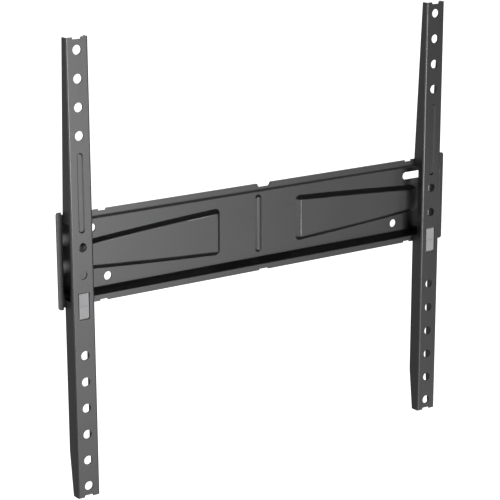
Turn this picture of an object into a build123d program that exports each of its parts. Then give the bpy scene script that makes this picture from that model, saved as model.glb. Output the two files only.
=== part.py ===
from build123d import *
from math import cos, radians, sin, sqrt, tan
import os

os.makedirs("parts", exist_ok=True)

# A low-profile wall bracket for a flat television: a pressed wall plate, and two upright arms
# that hook over its upper lip, slide along it and lock under its lower lip.
# Millimetres. The wall is the plane Y = 0, the front looks along -Y, X runs along the plate, Z is up.

# Sheet thicknesses and the running clearance between pieces that slide on one another
plate_sheet = 1.6
arm_sheet = 1.6
hook_sheet = 2.0
slide_gap = 0.3
press_slope = 45.0
same_plane = 0.001

# Screen pattern: arms at this pitch, hung a little to the left of the plate's middle
screen_pitch = 400.0
arms_shift = -5.0
hole_step = 25.0
hole_steps = (8, 7, 6, 5, 1, 0, -3, -4, -5, -6, -7, -8)
hole_diameter = 8.5

# Wall plate: a drawn tray with a lip all round, a little wider than the screen pattern
tray_over = 13.0
tray_half_height = 32.5
tray_depth = 9.6
tray_corner = 5.5
tray_draft = 20.0
tray_floor_bend = 1.6
tray_mouth_bend = 2.3
long_lip = 6.6
end_lip = 5.8
ear_width = 4.9
ear_rise = 2.1
ear_corner = 2.4

# Notches in the lips, for sighting the centre and the widest arm places
side_notch_inset = 37.0
side_notch_width = 8.0
top_side_notch_depth = 1.7
low_side_notch_depth = 1.4
top_mid_notch_width = 15.8
top_mid_notch_floor = 11.6
top_mid_notch_depth = 3.5
low_mid_notch_width = 10.4
low_mid_notch_depth = 1.2

# Two long stiffening bosses and the upright rib between them
boss_inner_x = 44.0
boss_end_inset = 18.0
boss_z = -0.4
boss_edge_inset = 9.7
boss_mid_narrowing = 4.2
boss_end_narrowing = 9.6
boss_inner_corner = 5.0
boss_outer_corner = 8.0
boss_height = 3.8
boss_top_bend = 2.0
boss_end_bend = 16.0
rib_width = 7.4
rib_end_inset = 4.15
rib_z = 1.0
rib_height = 1.9
rib_top_bend = 1.5

# Fixings to the wall: level slots above, round holes below
fixing_edge_inset = 9.0
wall_slot_inset = 22.5
wall_slot_length = 26.0
wall_slot_width = 7.6
wall_hole_inset = 46.9
wall_hole_diameter = 8.0

# Upright arms: folded channels, deepest at the wall plate
arm_width = 22.4
arm_depth = 14.1
arm_bend = 1.8
arm_mid_z = -11.0
arm_top_margin = 11.0
arm_low_margin = 10.5
arm_top_depth = 6.6
arm_low_depth = 9.2
arm_low_taper = 42.5
arm_taper_margin = 0.4
end_notch_width = 8.6
end_notch_depth = 1.8

# Cut-outs in the flanges over the height of the tray
flange_cut_margin = 0.7
flange_cut_corner = 3.0
outer_flange_left = 2.4
inner_flange_left = 7.3

# Bead pressed into the face, which the hook is welded to
bead_width = 6.0
bead_length = 72.0
bead_below_lip = 15.6
bead_depth = 1.0

# Hook strip over the upper lip
hook_back_height = 50.0
hook_reach = 4.2
hook_half_width = 7.0
hook_bend = 0.6

# Lock under the lower lip: a sliding latch whose button shows in a window in the face
window_width = 11.5
window_height = 25.5
window_over_lip = 2.85
window_corner = 1.4
latch_travel = 1.1
latch_half_width = 7.2
latch_sheet = 2.5
latch_cover = 0.5
latch_low_over = 4.5
latch_corner = 1.5
latch_foot_half_width = 5.8
latch_foot_height = 3.0
latch_nose_thickness = 2.0
latch_nose_reach = 0.8
latch_nose_lead = 1.2
latch_web_drop = 5.0
latch_heel_depth = 2.8
latch_heel_height = 5.0
button_side_gap = 0.95
button_top_gap = 1.1
button_corner = 0.6
groove_width = 7.6
groove_height = 0.9
groove_depth = 0.4
guide_cheek = 2.1
guide_ledge = 1.1
guide_ledge_depth = 2.5
guide_top_bar = 2.0
guide_low_bar = 4.0
guide_corner = 1.0
lug_height = 5.3
lug_depth = 2.8
lug_drop = 5.0
lug_inset = 0.2
lug_slot_gap = 0.1
spring_length = 14.0
spring_wire = 0.7
spring_diameter = 5.0
spring_turns = 5
spring_corners = 8
peg_diameter = 2.8
peg_height = 3.0

# Planes of the sheets, as distances in front of the wall
lip_front = plate_sheet + tray_depth
lip_back = lip_front - plate_sheet
arm_front = lip_front + slide_gap + arm_depth
arm_face_back = arm_front - arm_sheet

# Sheet that follows a pressed slope: how far the far side's outline steps in
plate_step = plate_sheet * tan(radians(press_slope / 2))
arm_step = arm_sheet * tan(radians(press_slope / 2))
tray_spread = tray_depth * tan(radians(tray_draft))
tray_back_grow = plate_sheet * (1 / cos(radians(tray_draft)) - tan(radians(tray_draft)))

# Places along and across the plate
tray_half_width = screen_pitch / 2 + tray_over
mouth_half_width = tray_half_width + tray_spread
mouth_half_height = tray_half_height + tray_spread
plate_half_width = mouth_half_width + end_lip
lip_edge_half = mouth_half_height + long_lip
side_notch_x = tray_half_width - side_notch_inset
boss_outer_x = tray_half_width - boss_end_inset
boss_mid_x = (boss_inner_x + boss_outer_x) / 2
boss_inner_half = tray_half_height - boss_edge_inset
boss_mid_half = boss_inner_half - boss_mid_narrowing
boss_outer_half = boss_inner_half - boss_end_narrowing
wall_slot_x = tray_half_width - wall_slot_inset
wall_slot_z = tray_half_height - fixing_edge_inset
wall_hole_x = tray_half_width - wall_hole_inset
wall_hole_z = fixing_edge_inset - tray_half_height


def finish(piece, name):
    piece.part.label = name
    export_step(piece.part, "parts/" + name + ".step")


def at_depth(edges, depth):
    return edges.filter_by(
        lambda e: abs(e.center().Y + depth) < same_plane and abs(e.tangent_at(0.5).Y) < same_plane
    )


def inside_mouth(edge):
    inside_x = abs(edge.center().X) < mouth_half_width + tray_mouth_bend
    return inside_x and abs(edge.center().Z) < mouth_half_height + tray_mouth_bend


# Outline of the lip: a long rectangle whose ends stand up as ears that stop the arms
with BuildSketch(Plane.XZ.offset(lip_back)) as lip_outline:
    Rectangle(2 * plate_half_width, 2 * lip_edge_half)
    with GridLocations(2 * plate_half_width - ear_width, 0, 2, 1):
        Rectangle(ear_width, 2 * (lip_edge_half + ear_rise))
    by_x = lip_outline.vertices().group_by(Axis.X)
    fillet(by_x[0] + by_x[-1], ear_corner)
    with GridLocations(2 * side_notch_x, 0, 2, 1):
        with Locations((0, lip_edge_half), (0, -lip_edge_half)):
            Rectangle(side_notch_width, 2 * low_side_notch_depth, mode=Mode.SUBTRACT)
        with Locations((0, lip_edge_half)):
            Rectangle(side_notch_width, 2 * top_side_notch_depth, mode=Mode.SUBTRACT)
    with Locations((0, -lip_edge_half)):
        Rectangle(low_mid_notch_width, 2 * low_mid_notch_depth, mode=Mode.SUBTRACT)
    with BuildLine():
        Polyline(
            (-top_mid_notch_width / 2, lip_edge_half),
            (-top_mid_notch_floor / 2, lip_edge_half - top_mid_notch_depth),
            (top_mid_notch_floor / 2, lip_edge_half - top_mid_notch_depth),
            (top_mid_notch_width / 2, lip_edge_half),
            close=True,
        )
    make_face(mode=Mode.SUBTRACT)

# Outline of one boss: tall at the middle of the plate, bowed long edges, lower at its outer end
with BuildSketch(Plane.XZ) as boss_outline:
    with BuildLine():
        Line((boss_inner_x, boss_z - boss_inner_half), (boss_inner_x, boss_z + boss_inner_half))
        ThreePointArc(
            (boss_inner_x, boss_z + boss_inner_half),
            (boss_mid_x, boss_z + boss_mid_half),
            (boss_outer_x, boss_z + boss_outer_half),
        )
        Line((boss_outer_x, boss_z + boss_outer_half), (boss_outer_x, boss_z - boss_outer_half))
        ThreePointArc(
            (boss_outer_x, boss_z - boss_outer_half),
            (boss_mid_x, boss_z - boss_mid_half),
            (boss_inner_x, boss_z - boss_inner_half),
        )
    make_face()
    by_x = boss_outline.vertices().group_by(Axis.X)
    fillet(by_x[0], boss_inner_corner)
    fillet(boss_outline.vertices().group_by(Axis.X)[-1], boss_outer_corner)
    mirror(about=Plane.YZ)

with BuildSketch(Plane.XZ) as rib_outline:
    with Locations((0, rib_z)):
        SlotOverall(2 * (tray_half_height - rib_end_inset), rib_width, rotation=90)


# Both bosses: sloped walls, a bend along the crest, and a long curved fall at the outer ends
def boss_pair(outline, base, crest_bend, end_bend):
    crest = base + boss_height
    fall_x = boss_outer_x - sqrt(2 * boss_end_bend * boss_height - boss_height**2)
    with BuildPart() as pair:
        extrude(outline.moved(Pos(0, -base, 0)), amount=boss_height, taper=press_slope)
        if crest_bend:
            fillet(at_depth(pair.edges(), crest), crest_bend)
        with BuildSketch(Plane.XY):
            with Locations((fall_x, end_bend - crest), (-fall_x, end_bend - crest)):
                Circle(end_bend)
            Rectangle(2 * fall_x, 2 * crest)
        extrude(amount=2 * tray_half_height, both=True, mode=Mode.INTERSECT)
    return pair.part


# Wall plate
with BuildPart() as wall_plate:
    extrude(lip_outline.sketch, amount=plate_sheet)
    with BuildSketch(Plane.XZ):
        RectangleRounded(
            2 * (tray_half_width + tray_back_grow),
            2 * (tray_half_height + tray_back_grow),
            tray_corner + tray_back_grow,
        )
    extrude(amount=lip_front, taper=-tray_draft)
    with BuildSketch(Plane.XZ.offset(plate_sheet)):
        RectangleRounded(2 * tray_half_width, 2 * tray_half_height, tray_corner)
    extrude(amount=lip_front, taper=-tray_draft, mode=Mode.SUBTRACT)
    fillet(at_depth(wall_plate.edges(), 0), tray_floor_bend + plate_sheet)
    fillet(at_depth(wall_plate.edges(), plate_sheet), tray_floor_bend)
    fillet(at_depth(wall_plate.edges(), lip_front).filter_by(inside_mouth), tray_mouth_bend)
    add(boss_pair(boss_outline.sketch, plate_sheet, boss_top_bend, boss_end_bend))
    with BuildSketch(Plane.XZ) as boss_hollow:
        offset(boss_outline.sketch, amount=-plate_step)
    add(boss_pair(boss_hollow.sketch, 0, 0, boss_end_bend - plate_sheet), mode=Mode.SUBTRACT)
    extrude(rib_outline.sketch.moved(Pos(0, -plate_sheet, 0)), amount=rib_height, taper=press_slope)
    fillet(at_depth(wall_plate.edges(), plate_sheet + rib_height), rib_top_bend)
    with BuildSketch(Plane.XZ):
        offset(rib_outline.sketch, amount=-plate_step)
    extrude(amount=rib_height, taper=press_slope, mode=Mode.SUBTRACT)
    with BuildSketch(Plane.XZ):
        with GridLocations(2 * wall_slot_x, 0, 2, 1):
            with Locations((0, wall_slot_z)):
                SlotOverall(wall_slot_length, wall_slot_width)
        with GridLocations(2 * wall_hole_x, 0, 2, 1):
            with Locations((0, wall_hole_z)):
                Circle(wall_hole_diameter / 2)
    extrude(amount=plate_sheet, mode=Mode.SUBTRACT)

finish(wall_plate, "wall_plate")

# Heights that the arms share
arm_top_z = arm_mid_z + hole_steps[0] * hole_step + arm_top_margin
arm_low_z = arm_mid_z + hole_steps[-1] * hole_step - arm_low_margin
arm_inner_half = arm_width / 2 - arm_sheet
flange_cut_half = mouth_half_height - flange_cut_margin
bead_mid_z = lip_edge_half - bead_below_lip + bead_length / 2
bead_back = arm_face_back - bead_depth
hook_low = lip_edge_half + slide_gap
hook_foot = lip_edge_half - hook_reach
hook_top_z = hook_low + hook_back_height

# Latch and guide, as distances in front of the wall and heights
latch_front = arm_face_back - slide_gap
latch_back = latch_front - latch_sheet
window_z = window_over_lip - lip_edge_half
latch_top_z = window_z + window_height / 2 + latch_travel + latch_cover
latch_low_z = window_z - window_height / 2 - latch_low_over
button_low_gap = latch_travel + slide_gap
button_height = window_height - button_top_gap - button_low_gap
button_z = window_z + (button_low_gap - button_top_gap) / 2
nose_front = lip_back - slide_gap
nose_back = nose_front - latch_nose_thickness
foot_top_z = -lip_edge_half - slide_gap
foot_low_z = foot_top_z - latch_foot_height
nose_top_z = latch_nose_reach - lip_edge_half
heel_back = latch_back - latch_heel_depth
guide_back = latch_back - slide_gap - guide_ledge_depth
guide_open_top = latch_top_z + slide_gap
guide_open_low = latch_low_z - spring_length
guide_open_mid = (guide_open_top + guide_open_low) / 2
guide_top_z = guide_open_top + guide_top_bar
guide_low_z = guide_open_low - guide_low_bar
guide_mid_z = (guide_top_z + guide_low_z) / 2
cheek_half = latch_half_width + slide_gap
ledge_half = cheek_half - guide_ledge
lug_z = window_z + window_height / 2 - lug_drop
lug_mid = arm_face_back - guide_cheek
spring_axis = latch_back
coil_radius = (spring_diameter - spring_wire) / 2
coil_height = spring_length - 2 * spring_wire
coil_low_z = guide_open_low + spring_wire


def coil_points(x):
    corners = spring_turns * spring_corners
    turn = radians(360 / spring_corners)
    return [
        (
            x + coil_radius * cos(i * turn),
            coil_radius * sin(i * turn) - spring_axis,
            coil_low_z + coil_height * i / corners,
        )
        for i in range(corners + 1)
    ]


for side, outward in (("left", -1), ("right", 1)):
    arm_x = arms_shift + outward * screen_pitch / 2

    # Arm: a channel folded from one sheet, deepest at the wall plate and tapering to both ends
    with BuildPart() as arm:
        with BuildSketch(Plane.YZ.offset(arm_x)):
            with BuildLine():
                Polyline(
                    (-arm_front, arm_low_z),
                    (arm_low_depth - arm_front, arm_low_z),
                    (arm_depth - arm_front, arm_low_z + arm_low_taper),
                    (arm_depth - arm_front, lip_edge_half + arm_taper_margin),
                    (arm_top_depth - arm_front, arm_top_z),
                    (-arm_front, arm_top_z),
                    close=True,
                )
            make_face()
        extrude(amount=arm_width / 2, both=True)
        fillet(arm.edges().filter_by(Axis.Z).group_by(Axis.Y)[0], arm_bend)
        with BuildSketch(Plane.XZ.offset(arm_face_back)):
            with Locations((arm_x, (arm_top_z + arm_low_z) / 2)):
                Rectangle(2 * arm_inner_half, arm_top_z - arm_low_z)
        extrude(amount=-arm_depth, mode=Mode.SUBTRACT)
        # The flanges are cut back between the lips of the wall plate, the outer one almost to its fold
        for flange, flange_left in ((outward, outer_flange_left), (-outward, inner_flange_left)):
            with BuildSketch(Plane.YZ.offset(arm_x + flange * (arm_width - arm_sheet) / 2)) as flange_cut:
                with Locations((flange_left - arm_front, 0)):
                    Rectangle(arm_depth, 2 * flange_cut_half, align=(Align.MIN, Align.CENTER))
                fillet(flange_cut.vertices().group_by(Axis.Y)[0], flange_cut_corner)
            extrude(amount=arm_sheet, both=True, mode=Mode.SUBTRACT)
        # The bead's back is a flat seat that stands into the channel
        with BuildSketch(Plane.XZ.offset(bead_back)):
            with Locations((arm_x, bead_mid_z)):
                SlotOverall(
                    bead_length + 2 * (arm_step - bead_depth),
                    bead_width + 2 * (arm_step - bead_depth),
                    rotation=90,
                )
        extrude(amount=bead_depth, taper=-press_slope)
        with BuildSketch(Plane.XZ.offset(arm_front - bead_depth)):
            with Locations((arm_x, bead_mid_z)):
                SlotOverall(bead_length - 2 * bead_depth, bead_width - 2 * bead_depth, rotation=90)
        extrude(amount=bead_depth, taper=-press_slope, mode=Mode.SUBTRACT)
        # Screw holes, the latch window and the sighting notches at both ends
        with BuildSketch(Plane.XZ.offset(arm_face_back)):
            with Locations([(arm_x, arm_mid_z + step * hole_step) for step in hole_steps]):
                Circle(hole_diameter / 2)
            with Locations((arm_x, window_z)):
                RectangleRounded(window_width, window_height, window_corner)
            with Locations((arm_x, arm_top_z), (arm_x, arm_low_z)):
                Rectangle(end_notch_width, 2 * end_notch_depth)
        extrude(amount=arm_sheet, mode=Mode.SUBTRACT)
        # Slots through the flanges that the guide's lugs snap into
        with BuildSketch(Plane.YZ.offset(arm_x)):
            with Locations((-lug_mid, lug_z)):
                Rectangle(lug_depth + 2 * lug_slot_gap, lug_height + 2 * lug_slot_gap)
        extrude(amount=arm_width, both=True, mode=Mode.SUBTRACT)
    finish(arm, "arm_" + side)

    # Hook: a bent strip welded to the back of the bead, over the upper lip and down behind it
    with BuildPart() as hook:
        with BuildSketch(Plane.YZ.offset(arm_x)):
            with BuildLine():
                FilletPolyline(
                    (-bead_back, hook_top_z),
                    (-bead_back, hook_low),
                    (-nose_front, hook_low),
                    (-nose_front, hook_foot),
                    radius=[hook_bend + hook_sheet, hook_bend],
                )
                offset(amount=hook_sheet, side=Side.LEFT)
            make_face()
        extrude(amount=hook_half_width, both=True)
    finish(hook, "hook_" + side)

    # Latch: a moulded slider behind the window, with a nose that rises behind the lower lip
    with BuildPart() as latch:
        with BuildSketch(Plane.XZ.offset(latch_back)) as latch_plate:
            with Locations((arm_x, (latch_top_z + latch_low_z) / 2)):
                Rectangle(2 * latch_half_width, latch_top_z - latch_low_z)
            chamfer(latch_plate.vertices(), latch_corner)
        extrude(amount=latch_sheet)
        with BuildSketch(Plane.YZ.offset(arm_x)):
            with BuildLine():
                Polyline(
                    (-latch_back, foot_top_z),
                    (-nose_front, foot_top_z),
                    (-nose_front, nose_top_z),
                    (-nose_back - latch_nose_lead, nose_top_z),
                    (-nose_back, nose_top_z - latch_nose_lead),
                    (-nose_back, foot_low_z),
                    (-heel_back, foot_low_z),
                    (-latch_back, foot_low_z - latch_web_drop),
                    close=True,
                )
            make_face()
        extrude(amount=latch_foot_half_width, both=True)
        with BuildSketch(Plane.XZ.offset(heel_back)):
            with Locations((arm_x, latch_low_z)):
                Rectangle(
                    2 * latch_foot_half_width, latch_heel_height, align=(Align.CENTER, Align.MIN)
                )
        extrude(amount=latch_heel_depth)
        # Its button fills the window, level with the face, with a groove for a finger nail
        with BuildSketch(Plane.XZ.offset(latch_front)):
            with Locations((arm_x, button_z)):
                RectangleRounded(window_width - 2 * button_side_gap, button_height, button_corner)
        extrude(amount=arm_front - latch_front)
        with BuildSketch(Plane.XZ.offset(arm_front - groove_depth)):
            with Locations((arm_x, button_z)):
                SlotOverall(groove_width, groove_height)
        extrude(amount=groove_depth, mode=Mode.SUBTRACT)
    finish(latch, "latch_" + side)

    # Guide: a moulded frame snapped into the channel; its ledges hold the latch against the face
    with BuildPart() as guide:
        with BuildSketch(Plane.XZ.offset(guide_back)):
            with Locations((arm_x, guide_mid_z)):
                Rectangle(2 * arm_inner_half, guide_top_z - guide_low_z)
            with Locations((arm_x, guide_open_mid)):
                Rectangle(2 * ledge_half, guide_open_top - guide_open_low, mode=Mode.SUBTRACT)
        extrude(amount=guide_ledge_depth)
        with BuildSketch(Plane.XZ.offset(latch_back - slide_gap)):
            with Locations((arm_x, guide_mid_z)):
                Rectangle(2 * arm_inner_half, guide_top_z - guide_low_z)
            with Locations((arm_x, guide_open_mid)):
                Rectangle(2 * cheek_half, guide_open_top - guide_open_low, mode=Mode.SUBTRACT)
        extrude(amount=arm_face_back - latch_back + slide_gap)
        back_corners = guide.edges().filter_by(Axis.Y).group_by(Axis.X)
        chamfer(back_corners[0] + back_corners[-1], guide_corner)
        for flange in (-1, 1):
            with BuildSketch(Plane.YZ.offset(arm_x + flange * arm_inner_half)):
                with Locations((-lug_mid, lug_z)):
                    Rectangle(lug_depth, lug_height)
            extrude(amount=flange * (arm_sheet - lug_inset))
        with BuildSketch(Plane.XY.offset(guide_open_low)):
            with Locations((arm_x, -spring_axis)):
                Circle(peg_diameter / 2)
        extrude(amount=peg_height)
    finish(guide, "latch_guide_" + side)

    # Spring: a coil of flat wire that pushes the latch up behind the lip
    with BuildPart() as spring:
        with BuildLine() as coil:
            Polyline(*coil_points(arm_x))
        with BuildSketch(Plane(origin=coil.line @ 0, z_dir=coil.line % 0)):
            Rectangle(spring_wire, spring_wire)
        sweep(transition=Transition.RIGHT)
    finish(spring, "latch_spring_" + side)
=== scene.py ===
import math

import bpy
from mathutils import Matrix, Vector


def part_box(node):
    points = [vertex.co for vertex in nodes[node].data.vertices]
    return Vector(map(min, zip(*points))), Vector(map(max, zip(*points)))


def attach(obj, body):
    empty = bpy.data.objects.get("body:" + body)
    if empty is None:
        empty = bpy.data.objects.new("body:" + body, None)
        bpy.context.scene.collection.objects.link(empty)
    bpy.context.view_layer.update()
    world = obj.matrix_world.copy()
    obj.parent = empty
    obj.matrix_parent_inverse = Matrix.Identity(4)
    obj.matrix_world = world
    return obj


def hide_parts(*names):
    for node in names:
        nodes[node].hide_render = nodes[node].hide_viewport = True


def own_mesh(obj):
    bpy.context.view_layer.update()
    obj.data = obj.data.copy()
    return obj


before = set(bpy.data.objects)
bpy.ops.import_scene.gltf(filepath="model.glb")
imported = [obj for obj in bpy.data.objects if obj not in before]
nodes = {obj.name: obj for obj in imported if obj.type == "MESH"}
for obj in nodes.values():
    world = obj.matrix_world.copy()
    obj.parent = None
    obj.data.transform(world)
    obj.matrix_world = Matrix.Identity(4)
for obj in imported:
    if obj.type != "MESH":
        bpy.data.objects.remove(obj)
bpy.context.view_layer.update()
scene = bpy.context.scene
print("frame loaded:", ", ".join(sorted(nodes)))


# small helpers for node trees; an underscore in a keyword stands for the space in a socket's name

def newNode(tree, kind, x, y, **sockets):
    node = tree.nodes.new(kind)
    node.location = (x, y)
    for name, value in sockets.items():
        node.inputs[name.replace("_", " ")].default_value = value
    return node


def newGroup(name, inputs, outputs):
    group = bpy.data.node_groups.new(name, "ShaderNodeTree")
    for label, value in inputs.items():
        socket = group.interface.new_socket(name=label, in_out="INPUT", socket_type="NodeSocketFloat")
        socket.default_value = value
    for label in outputs:
        group.interface.new_socket(name=label, in_out="OUTPUT", socket_type="NodeSocketFloat")
    start = newNode(group, "NodeGroupInput", -700, 0)
    end = newNode(group, "NodeGroupOutput", 700, 0)
    return group, start, end


# powder coat: orange-peel ripple, fine speckle of the baked grains, slow drift of the film thickness
def makePowderGrain():
    group, start, end = newGroup(
        "powderGrain",
        {"Peel Scale": 900.0, "Speckle Scale": 2600.0, "Drift Scale": 9.0},
        ("Height", "Speckle", "Drift"),
    )
    place = newNode(group, "ShaderNodeTexCoord", -700, 300)
    peel = newNode(group, "ShaderNodeTexNoise", -350, 300, Detail=2.0, Roughness=0.5)
    speckle = newNode(group, "ShaderNodeTexVoronoi", -350, 0)
    drift = newNode(group, "ShaderNodeTexNoise", -350, -300, Detail=3.0, Roughness=0.55)
    join = newNode(group, "ShaderNodeMath", 100, 200)
    join.operation = "MULTIPLY_ADD"
    join.inputs[1].default_value = 0.35  # how much the speckle adds to the ripple
    for texture, label in ((peel, "Peel Scale"), (speckle, "Speckle Scale"), (drift, "Drift Scale")):
        group.links.new(place.outputs["Object"], texture.inputs["Vector"])
        group.links.new(start.outputs[label], texture.inputs["Scale"])
    group.links.new(speckle.outputs["Distance"], join.inputs[0])
    group.links.new(peel.outputs["Fac"], join.inputs[2])
    group.links.new(join.outputs["Value"], end.inputs["Height"])
    group.links.new(speckle.outputs["Distance"], end.inputs["Speckle"])
    group.links.new(drift.outputs["Fac"], end.inputs["Drift"])
    return group


# painted edge highlight: a lighter colour along edges where the sheet was cut or folded sharply
def makePaintedEdgeHighlight():
    group, start, end = newGroup("paintedEdgeHighlight", {"Width": 0.0006, "Breakup Scale": 120.0}, ("Highlight",))
    place = newNode(group, "ShaderNodeTexCoord", -700, -250)
    rounded = newNode(group, "ShaderNodeBevel", -450, 150)
    rounded.samples = 4
    flat = newNode(group, "ShaderNodeNewGeometry", -450, 350)
    facing = newNode(group, "ShaderNodeVectorMath", -200, 250)
    facing.operation = "DOT_PRODUCT"
    # the more the rounded normal leans away from the flat one, the nearer the edge
    bent = newNode(group, "ShaderNodeMapRange", 0, 250, From_Min=0.98, From_Max=0.75, To_Min=0.0, To_Max=1.0)
    breakup = newNode(group, "ShaderNodeTexNoise", -200, -150, Detail=4.0, Roughness=0.6)
    patch = newNode(group, "ShaderNodeMapRange", 0, -100, From_Min=0.35, From_Max=0.7)
    both = newNode(group, "ShaderNodeMath", 300, 100)
    both.operation = "MULTIPLY"
    group.links.new(start.outputs["Width"], rounded.inputs["Radius"])
    group.links.new(rounded.outputs["Normal"], facing.inputs[0])
    group.links.new(flat.outputs["Normal"], facing.inputs[1])
    group.links.new(facing.outputs["Value"], bent.inputs["Value"])
    group.links.new(place.outputs["Object"], breakup.inputs["Vector"])
    group.links.new(start.outputs["Breakup Scale"], breakup.inputs["Scale"])
    group.links.new(breakup.outputs["Fac"], patch.inputs["Value"])
    group.links.new(bent.outputs["Result"], both.inputs[0])
    group.links.new(patch.outputs["Result"], both.inputs[1])
    group.links.new(both.outputs["Value"], end.inputs["Highlight"])
    return group


# moulded plastic: spark-eroded texture and faint flow clouds
def makeMouldGrain():
    group, start, end = newGroup(
        "mouldGrain", {"Grain Scale": 1800.0, "Cloud Scale": 60.0}, ("Height", "Cloud"))
    place = newNode(group, "ShaderNodeTexCoord", -700, 300)
    grain = newNode(group, "ShaderNodeTexNoise", -350, 200, Detail=3.0, Roughness=0.7)
    cloud = newNode(group, "ShaderNodeTexNoise", -350, -150, Detail=2.0, Roughness=0.5)
    for texture, label in ((grain, "Grain Scale"), (cloud, "Cloud Scale")):
        group.links.new(place.outputs["Object"], texture.inputs["Vector"])
        group.links.new(start.outputs[label], texture.inputs["Scale"])
    group.links.new(grain.outputs["Fac"], end.inputs["Height"])
    group.links.new(cloud.outputs["Fac"], end.inputs["Cloud"])
    return group


powderGrain = makePowderGrain()
paintedEdgeHighlight = makePaintedEdgeHighlight()
mouldGrain = makeMouldGrain()
print("shared surface effects ready")


def newMaterial(name):
    material = bpy.data.materials.new(name)
    material.use_nodes = True
    tree = material.node_tree
    return material, tree, tree.nodes["Principled BSDF"]


def addGroup(tree, group, x, y, values):
    node = tree.nodes.new("ShaderNodeGroup")
    node.node_tree = group
    node.location = (x, y)
    for label, value in values.items():
        node.inputs[label].default_value = value
    return node


def mixColours(tree, x, y, factor, first, second):
    mix = newNode(tree, "ShaderNodeMix", x, y)
    mix.data_type = "RGBA"
    tree.links.new(factor, mix.inputs["Factor"])
    for socket, colour in ((mix.inputs[6], first), (mix.inputs[7], second)):  # its two colour sockets
        if isinstance(colour, bpy.types.NodeSocket):
            tree.links.new(colour, socket)
        else:
            socket.default_value = (*colour, 1.0)
    return mix.outputs[2]


# noise keeps mostly between 0.3 and 0.7, so that part is spread from low to high
def spread(tree, x, y, value, low, high, fromLow=0.3, fromHigh=0.7):
    ranged = newNode(
        tree, "ShaderNodeMapRange", x, y, From_Min=fromLow, From_Max=fromHigh, To_Min=low, To_Max=high)
    tree.links.new(value, ranged.inputs["Value"])
    return ranged.outputs["Result"]


def addBump(tree, shader, height, look):
    bump = newNode(
        tree, "ShaderNodeBump", -250, -300, Strength=look["bumpStrength"], Distance=look["bumpDistance"])
    tree.links.new(height, bump.inputs["Height"])
    tree.links.new(bump.outputs["Normal"], shader.inputs["Normal"])


# charcoal powder coat, one recipe for plate and arms with their own values
def makePaint(name, look):
    material, tree, shader = newMaterial(name)
    grain = addGroup(tree, powderGrain, -900, 200, look["grain"])
    edgeHighlight = addGroup(tree, paintedEdgeHighlight, -900, -200, look["edgeHighlight"])
    clouds = spread(tree, -700, 300, grain.outputs["Drift"], 0.0, 1.0)
    film = mixColours(tree, -500, 300, clouds, look["deep"], look["pale"])
    flecks = spread(tree, -700, 100, grain.outputs["Speckle"], 0.0, look["fleckAmount"], 0.1, 0.6)
    film = mixColours(tree, -300, 200, flecks, film, look["fleck"])
    # lighter colour along the sheet's edges, a painted edge highlight
    highlighted = spread(tree, -500, -200, edgeHighlight.outputs["Highlight"], 0.0, look["highlightAmount"], 0.0, 1.0)
    film = mixColours(tree, -150, 100, highlighted, film, look["highlightColour"])
    tree.links.new(film, shader.inputs["Base Color"])
    sheen = spread(tree, -500, -400, grain.outputs["Drift"], look["roughLow"], look["roughHigh"])
    tree.links.new(sheen, shader.inputs["Roughness"])
    addBump(tree, shader, grain.outputs["Height"], look)
    shader.inputs["Metallic"].default_value = look["metallic"]
    shader.inputs["Coat Weight"].default_value = look["coat"]
    shader.inputs["Coat Roughness"].default_value = look["coatRough"]
    return material


def makePlastic(name, look):
    material, tree, shader = newMaterial(name)
    grain = addGroup(tree, mouldGrain, -800, 0, look["grain"])
    clouds = spread(tree, -600, 200, grain.outputs["Cloud"], 0.0, 1.0)
    body = mixColours(tree, -400, 200, clouds, look["deep"], look["pale"])
    tree.links.new(body, shader.inputs["Base Color"])
    sheen = spread(tree, -400, -50, grain.outputs["Height"], look["roughLow"], look["roughHigh"])
    tree.links.new(sheen, shader.inputs["Roughness"])
    addBump(tree, shader, grain.outputs["Height"], look)
    return material


# what the plate's and the arms' paint share
charcoal = {
    "deep": (0.126, 0.127, 0.127),
    "pale": (0.14, 0.141, 0.141),
    "fleck": (0.16, 0.16, 0.161),
    "fleckAmount": 0.25,
    "roughLow": 0.42,
    "roughHigh": 0.46,
    "metallic": 1.0,
    "coat": 0.5,
    "coatRough": 0.13,
    "bumpStrength": 0.12,
    "bumpDistance": 0.0002,
}
plateLook = {
    **charcoal,
    # lighter colour for the painted edge highlight
    "highlightColour": (0.2, 0.2, 0.205),
    "highlightAmount": 0.25,
    "grain": {"Peel Scale": 700.0, "Speckle Scale": 2200.0, "Drift Scale": 11.0},
    "edgeHighlight": {"Width": 0.0005, "Breakup Scale": 90.0},
}
armLook = {
    **charcoal,
    # lighter colour for the painted edge highlight
    "highlightColour": (0.22, 0.22, 0.225),
    "highlightAmount": 0.3,
    "grain": {"Peel Scale": 760.0, "Speckle Scale": 2300.0, "Drift Scale": 14.0},
    "edgeHighlight": {"Width": 0.0006, "Breakup Scale": 110.0},
}
latchLook = {
    "deep": (0.395, 0.395, 0.405),
    "pale": (0.435, 0.435, 0.445),
    "roughLow": 0.42,
    "roughHigh": 0.55,
    "bumpStrength": 0.1,
    "bumpDistance": 0.0001,
    "grain": {"Grain Scale": 1800.0, "Cloud Scale": 80.0},
}
guideLook = {
    "deep": (0.016, 0.016, 0.017),
    "pale": (0.024, 0.024, 0.025),
    "roughLow": 0.45,
    "roughHigh": 0.6,
    "bumpStrength": 0.12,
    "bumpDistance": 0.0001,
    "grain": {"Grain Scale": 1500.0, "Cloud Scale": 70.0},
}
platePaint = makePaint("platePaint", plateLook)
armPaint = makePaint("armPaint", armLook)
latchGrey = makePlastic("latchGrey", latchLook)
guideBlack = makePlastic("guideBlack", guideLook)

springLook = {
    "steel": (0.55, 0.55, 0.56),
    "dulled": (0.4, 0.4, 0.41),
    "roughLow": 0.22,
    "roughHigh": 0.38,
    "drawScale": 900.0,
}


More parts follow.
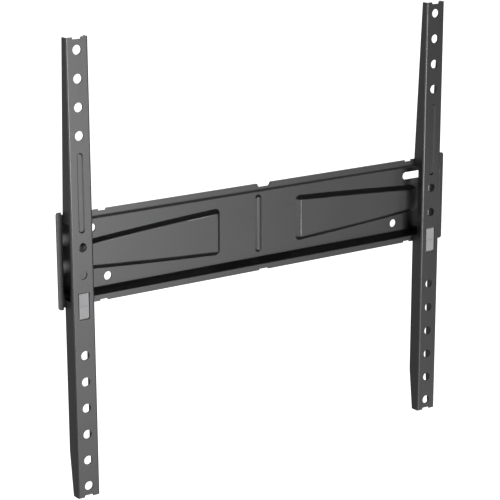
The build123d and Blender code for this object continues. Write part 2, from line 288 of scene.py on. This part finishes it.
def makeSpringSteel(look):
    material, tree, shader = newMaterial("springSteel")
    place = newNode(tree, "ShaderNodeTexCoord", -900, 0)
    drawn = newNode(tree, "ShaderNodeTexNoise", -700, 0, Scale=look["drawScale"], Detail=3.0)
    tree.links.new(place.outputs["Object"], drawn.inputs["Vector"])
    streaks = spread(tree, -500, 150, drawn.outputs["Fac"], 0.0, 1.0)
    steel = mixColours(tree, -350, 150, streaks, look["dulled"], look["steel"])
    tree.links.new(steel, shader.inputs["Base Color"])
    sheen = spread(tree, -500, -150, drawn.outputs["Fac"], look["roughHigh"], look["roughLow"])
    tree.links.new(sheen, shader.inputs["Roughness"])
    shader.inputs["Metallic"].default_value = 1.0
    return material


springSteel = makeSpringSteel(springLook)

finishes = {
    "wall_plate": platePaint,
    "arm_left": armPaint,
    "arm_right": armPaint,
    "hook_left": armPaint,
    "hook_right": armPaint,
    "latch_left": latchGrey,
    "latch_right": latchGrey,
    "latch_guide_left": guideBlack,
    "latch_guide_right": guideBlack,
    "latch_spring_left": springSteel,
    "latch_spring_right": springSteel,
}
for name, material in finishes.items():
    nodes[name].data.materials.clear()
    nodes[name].data.materials.append(material)
print("finishes on", len(finishes), "solids")

# coil springs of round wire with closed end turns, in place of the plain coils
springPiece = {
    "wire": 0.00065,  # metres
    "turns": 6.5,
    "stepsPerTurn": 28,
    "wireSides": 10,
    "endShare": 0.16,  # share of the turns at each end that lies nearly flat
    "endPitch": 0.35,
    "keep": 0.92,
}


def coilPath(low, high, radius, look):
    steps = int(look["turns"] * look["stepsPerTurn"])
    rises = []
    for i in range(steps):
        t = (i + 0.5) / steps
        rises.append(look["endPitch"] if min(t, 1 - t) < look["endShare"] else 1.0)
    total, z, path = sum(rises), low, []
    for i in range(steps + 1):
        turn = 2 * math.pi * look["turns"] * i / steps
        path.append(Vector((radius * math.cos(turn), radius * math.sin(turn), z)))
        if i < steps:
            z += (high - low) * rises[i] / total
    return path


def makeSpring(side):
    low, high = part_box("latch_spring_" + side)
    centre = Vector(((low.x + high.x) / 2, (low.y + high.y) / 2, 0))
    wire = springPiece["wire"]
    radius = (high.x - low.x) / 2 - wire / 2
    path = coilPath(low.z + wire / 2, high.z - wire / 2, radius, springPiece)
    verts, faces, sides = [], [], springPiece["wireSides"]
    for i, point in enumerate(path):
        before, after = path[max(i - 1, 0)], path[min(i + 1, len(path) - 1)]
        along = (after - before).normalized()
        out = Vector((point.x, point.y, 0)).normalized()
        up = along.cross(out).normalized()
        out = up.cross(along)
        for k in range(sides):
            a = 2 * math.pi * k / sides
            verts.append(centre + point + (out * math.cos(a) + up * math.sin(a)) * wire / 2)
    for i in range(len(path) - 1):
        for k in range(sides):
            a, b = i * sides + k, i * sides + (k + 1) % sides
            faces.append((a, b, b + sides, a + sides))
    faces.append(tuple(reversed(range(sides))))
    faces.append(tuple(range(len(verts) - sides, len(verts))))
    mesh = bpy.data.meshes.new("coilSpring_" + side)
    mesh.from_pydata(verts, [], faces)
    mesh.validate()
    for polygon in mesh.polygons:
        polygon.use_smooth = len(polygon.vertices) == 4  # the wire is smooth, its cut ends are flat
    spring = bpy.data.objects.new("coilSpring_" + side, mesh)
    scene.collection.objects.link(spring)
    mesh.materials.append(springSteel)
    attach(spring, side + "_arm")
    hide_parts("latch_spring_" + side)
    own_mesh(spring)


for side in ("left", "right"):
    makeSpring(side)
print("coil springs made")


def makeSheet(name, width, height, material):
    w, h = width / 2, height / 2
    mesh = bpy.data.meshes.new(name)
    mesh.from_pydata([(-w, -h, 0), (w, -h, 0), (w, h, 0), (-w, h, 0)], [], [(0, 1, 2, 3)])
    mesh.materials.append(material)
    sheet = bpy.data.objects.new(name, mesh)
    scene.collection.objects.link(sheet)
    return sheet


# one for the rays that see the surround as white, zero for those that only carry its fill light
def addSeenRays(tree, x, y):
    path = newNode(tree, "ShaderNodeLightPath", x, y)
    first = newNode(tree, "ShaderNodeMath", x + 200, y)
    second = newNode(tree, "ShaderNodeMath", x + 400, y)
    first.operation = second.operation = "MAXIMUM"
    tree.links.new(path.outputs["Is Camera Ray"], first.inputs[0])
    tree.links.new(path.outputs["Is Glossy Ray"], first.inputs[1])
    tree.links.new(first.outputs["Value"], second.inputs[0])
    tree.links.new(path.outputs["Is Transmission Ray"], second.inputs[1])
    return second.outputs["Value"]


# pale floor well below the bracket
floorLook = {
    "colour": (0.86, 0.86, 0.86),
    "rough": 0.9,
    "specular": 0.1,
    "drop": 0.75,
    "width": 60.0,
    "glow": 0.96,
}


def makeFloor(look):
    material, tree, shader = newMaterial("floorPale")
    shader.inputs["Roughness"].default_value = look["rough"]
    shader.inputs["Specular IOR Level"].default_value = look["specular"]
    shader.inputs["Base Color"].default_value = (*look["colour"], 1.0)
    shader.inputs["Emission Color"].default_value = (1, 1, 1, 1)
    glow = newNode(tree, "ShaderNodeMath", -150, -300)
    glow.operation = "MULTIPLY"
    glow.inputs[1].default_value = look["glow"]
    tree.links.new(addSeenRays(tree, -800, -300), glow.inputs[0])
    tree.links.new(glow.outputs["Value"], shader.inputs["Emission Strength"])
    floor = makeSheet("floor", look["width"], look["width"], material)
    floor.location = (0, 0, -look["drop"])


makeFloor(floorLook)

# white surround
worldLook = {"fill": 0.42}


def makeWorld(look):
    world = bpy.data.worlds.new("studio")
    scene.world = world
    world.use_nodes = True
    tree = world.node_tree
    back = tree.nodes["Background"]
    back.inputs["Color"].default_value = (1, 1, 1, 1)
    strength = newNode(tree, "ShaderNodeMapRange", -250, 0, To_Min=look["fill"], To_Max=1.0)
    tree.links.new(addSeenRays(tree, -900, 0), strength.inputs["Value"])
    tree.links.new(strength.outputs["Result"], back.inputs["Strength"])


makeWorld(worldLook)

# studio cards that the satin paint mirrors instead of the white surround, out of the camera's sight
cards = {
    "cardTop": {"centre": (0.3, -0.6, 1.2), "turn": (0, 0, 0), "size": (7.4, 6.4), "tone": 0.0},
    "cardUnder": {"centre": (0.5, -0.5, -0.74), "turn": (0, 0, 0), "size": (8.0, 6.0), "tone": 0.2},
    "cardFront": {"centre": (0.5, -3.4, 0.3), "turn": (90, 0, 0), "size": (7.0, 2.2), "tone": 0.03},
    "cardFrontRight": {"centre": (3.1, -3.3, -0.35), "turn": (90, 0, 0), "size": (1.6, 0.8), "tone": 0.5},
    "cardFloor": {"centre": (0.75, -1.15, -0.73), "turn": (0, 0, 35), "size": (1.6, 0.7), "tone": 0.6},
    "cardRight": {"centre": (2.6, -1.7, 0.3), "turn": (90, 0, 90), "size": (3.0, 2.2), "tone": 0.0},
    "cardRightBack": {"centre": (2.6, 1.0, 0.3), "turn": (90, 0, 90), "size": (2.4, 2.2), "tone": 0.4},
    "cardLeft": {"centre": (-2.6, 0.0, 0.3), "turn": (90, 0, 90), "size": (6.0, 2.2), "tone": 0.35},
    "cardBackLeft": {"centre": (-1.9, 2.2, 0.3), "turn": (90, 0, 0), "size": (3.0, 2.2), "tone": 0.24},
    "cardBackRight": {"centre": (1.2, 2.2, 0.3), "turn": (90, 0, 0), "size": (3.2, 2.2), "tone": 1.0},
}


def makeCard(name, look):
    material, tree, shader = newMaterial(name)
    shader.inputs["Base Color"].default_value = (0.0, 0.0, 0.0, 1.0)
    shader.inputs["Roughness"].default_value = 1.0
    shader.inputs["Specular IOR Level"].default_value = 0.0
    shader.inputs["Emission Color"].default_value = (1, 1, 1, 1)
    shader.inputs["Emission Strength"].default_value = look["tone"]
    card = makeSheet(name, *look["size"], material)
    card.location = look["centre"]
    card.rotation_euler = [math.radians(a) for a in look["turn"]]
    card.visible_camera = card.visible_diffuse = card.visible_shadow = False


for name, look in cards.items():
    makeCard(name, look)

lamps = {
    "keyFront": {"place": (0.4, -2.94, -0.36), "aim": (0.0, 0.0, -0.1), "size": (1.36, 0.72), "watts": 34.0},
    "keyLeft": {"place": (-2.16, -1.35, -0.54), "aim": (0.0, 0.0, 0.0), "size": (1.0, 1.2), "watts": 6.0},
}
for name, lamp in lamps.items():
    light = bpy.data.lights.new(name, "AREA")
    light.shape = "RECTANGLE"
    light.size, light.size_y = lamp["size"]
    light.energy = lamp["watts"]
    holder = bpy.data.objects.new(name, light)
    holder.location = lamp["place"]
    holder.rotation_mode = "QUATERNION"
    holder.rotation_quaternion = (Vector(lamp["aim"]) - Vector(lamp["place"])).to_track_quat("-Z", "Y")
    scene.collection.objects.link(holder)
scene.view_settings.view_transform = "Standard"
print("floor, surround, cards and lamps set")

cameraLook = {
    "place": (-0.93628, -1.34459, 0.42041),
    "turn": (74.7647, 0.1326, -34.6451),
    "lens": 127.35,
    "sensor": 36.0,
    "farthest": 100.0,
}
cameraData = bpy.data.cameras.new("camera")
cameraData.sensor_width = cameraLook["sensor"]
cameraData.lens = cameraLook["lens"]
cameraData.clip_end = cameraLook["farthest"]
camera = bpy.data.objects.new("camera", cameraData)
camera.location = cameraLook["place"]
camera.rotation_euler = [math.radians(a) for a in cameraLook["turn"]]
scene.collection.objects.link(camera)
scene.camera = camera

print("scene ready")
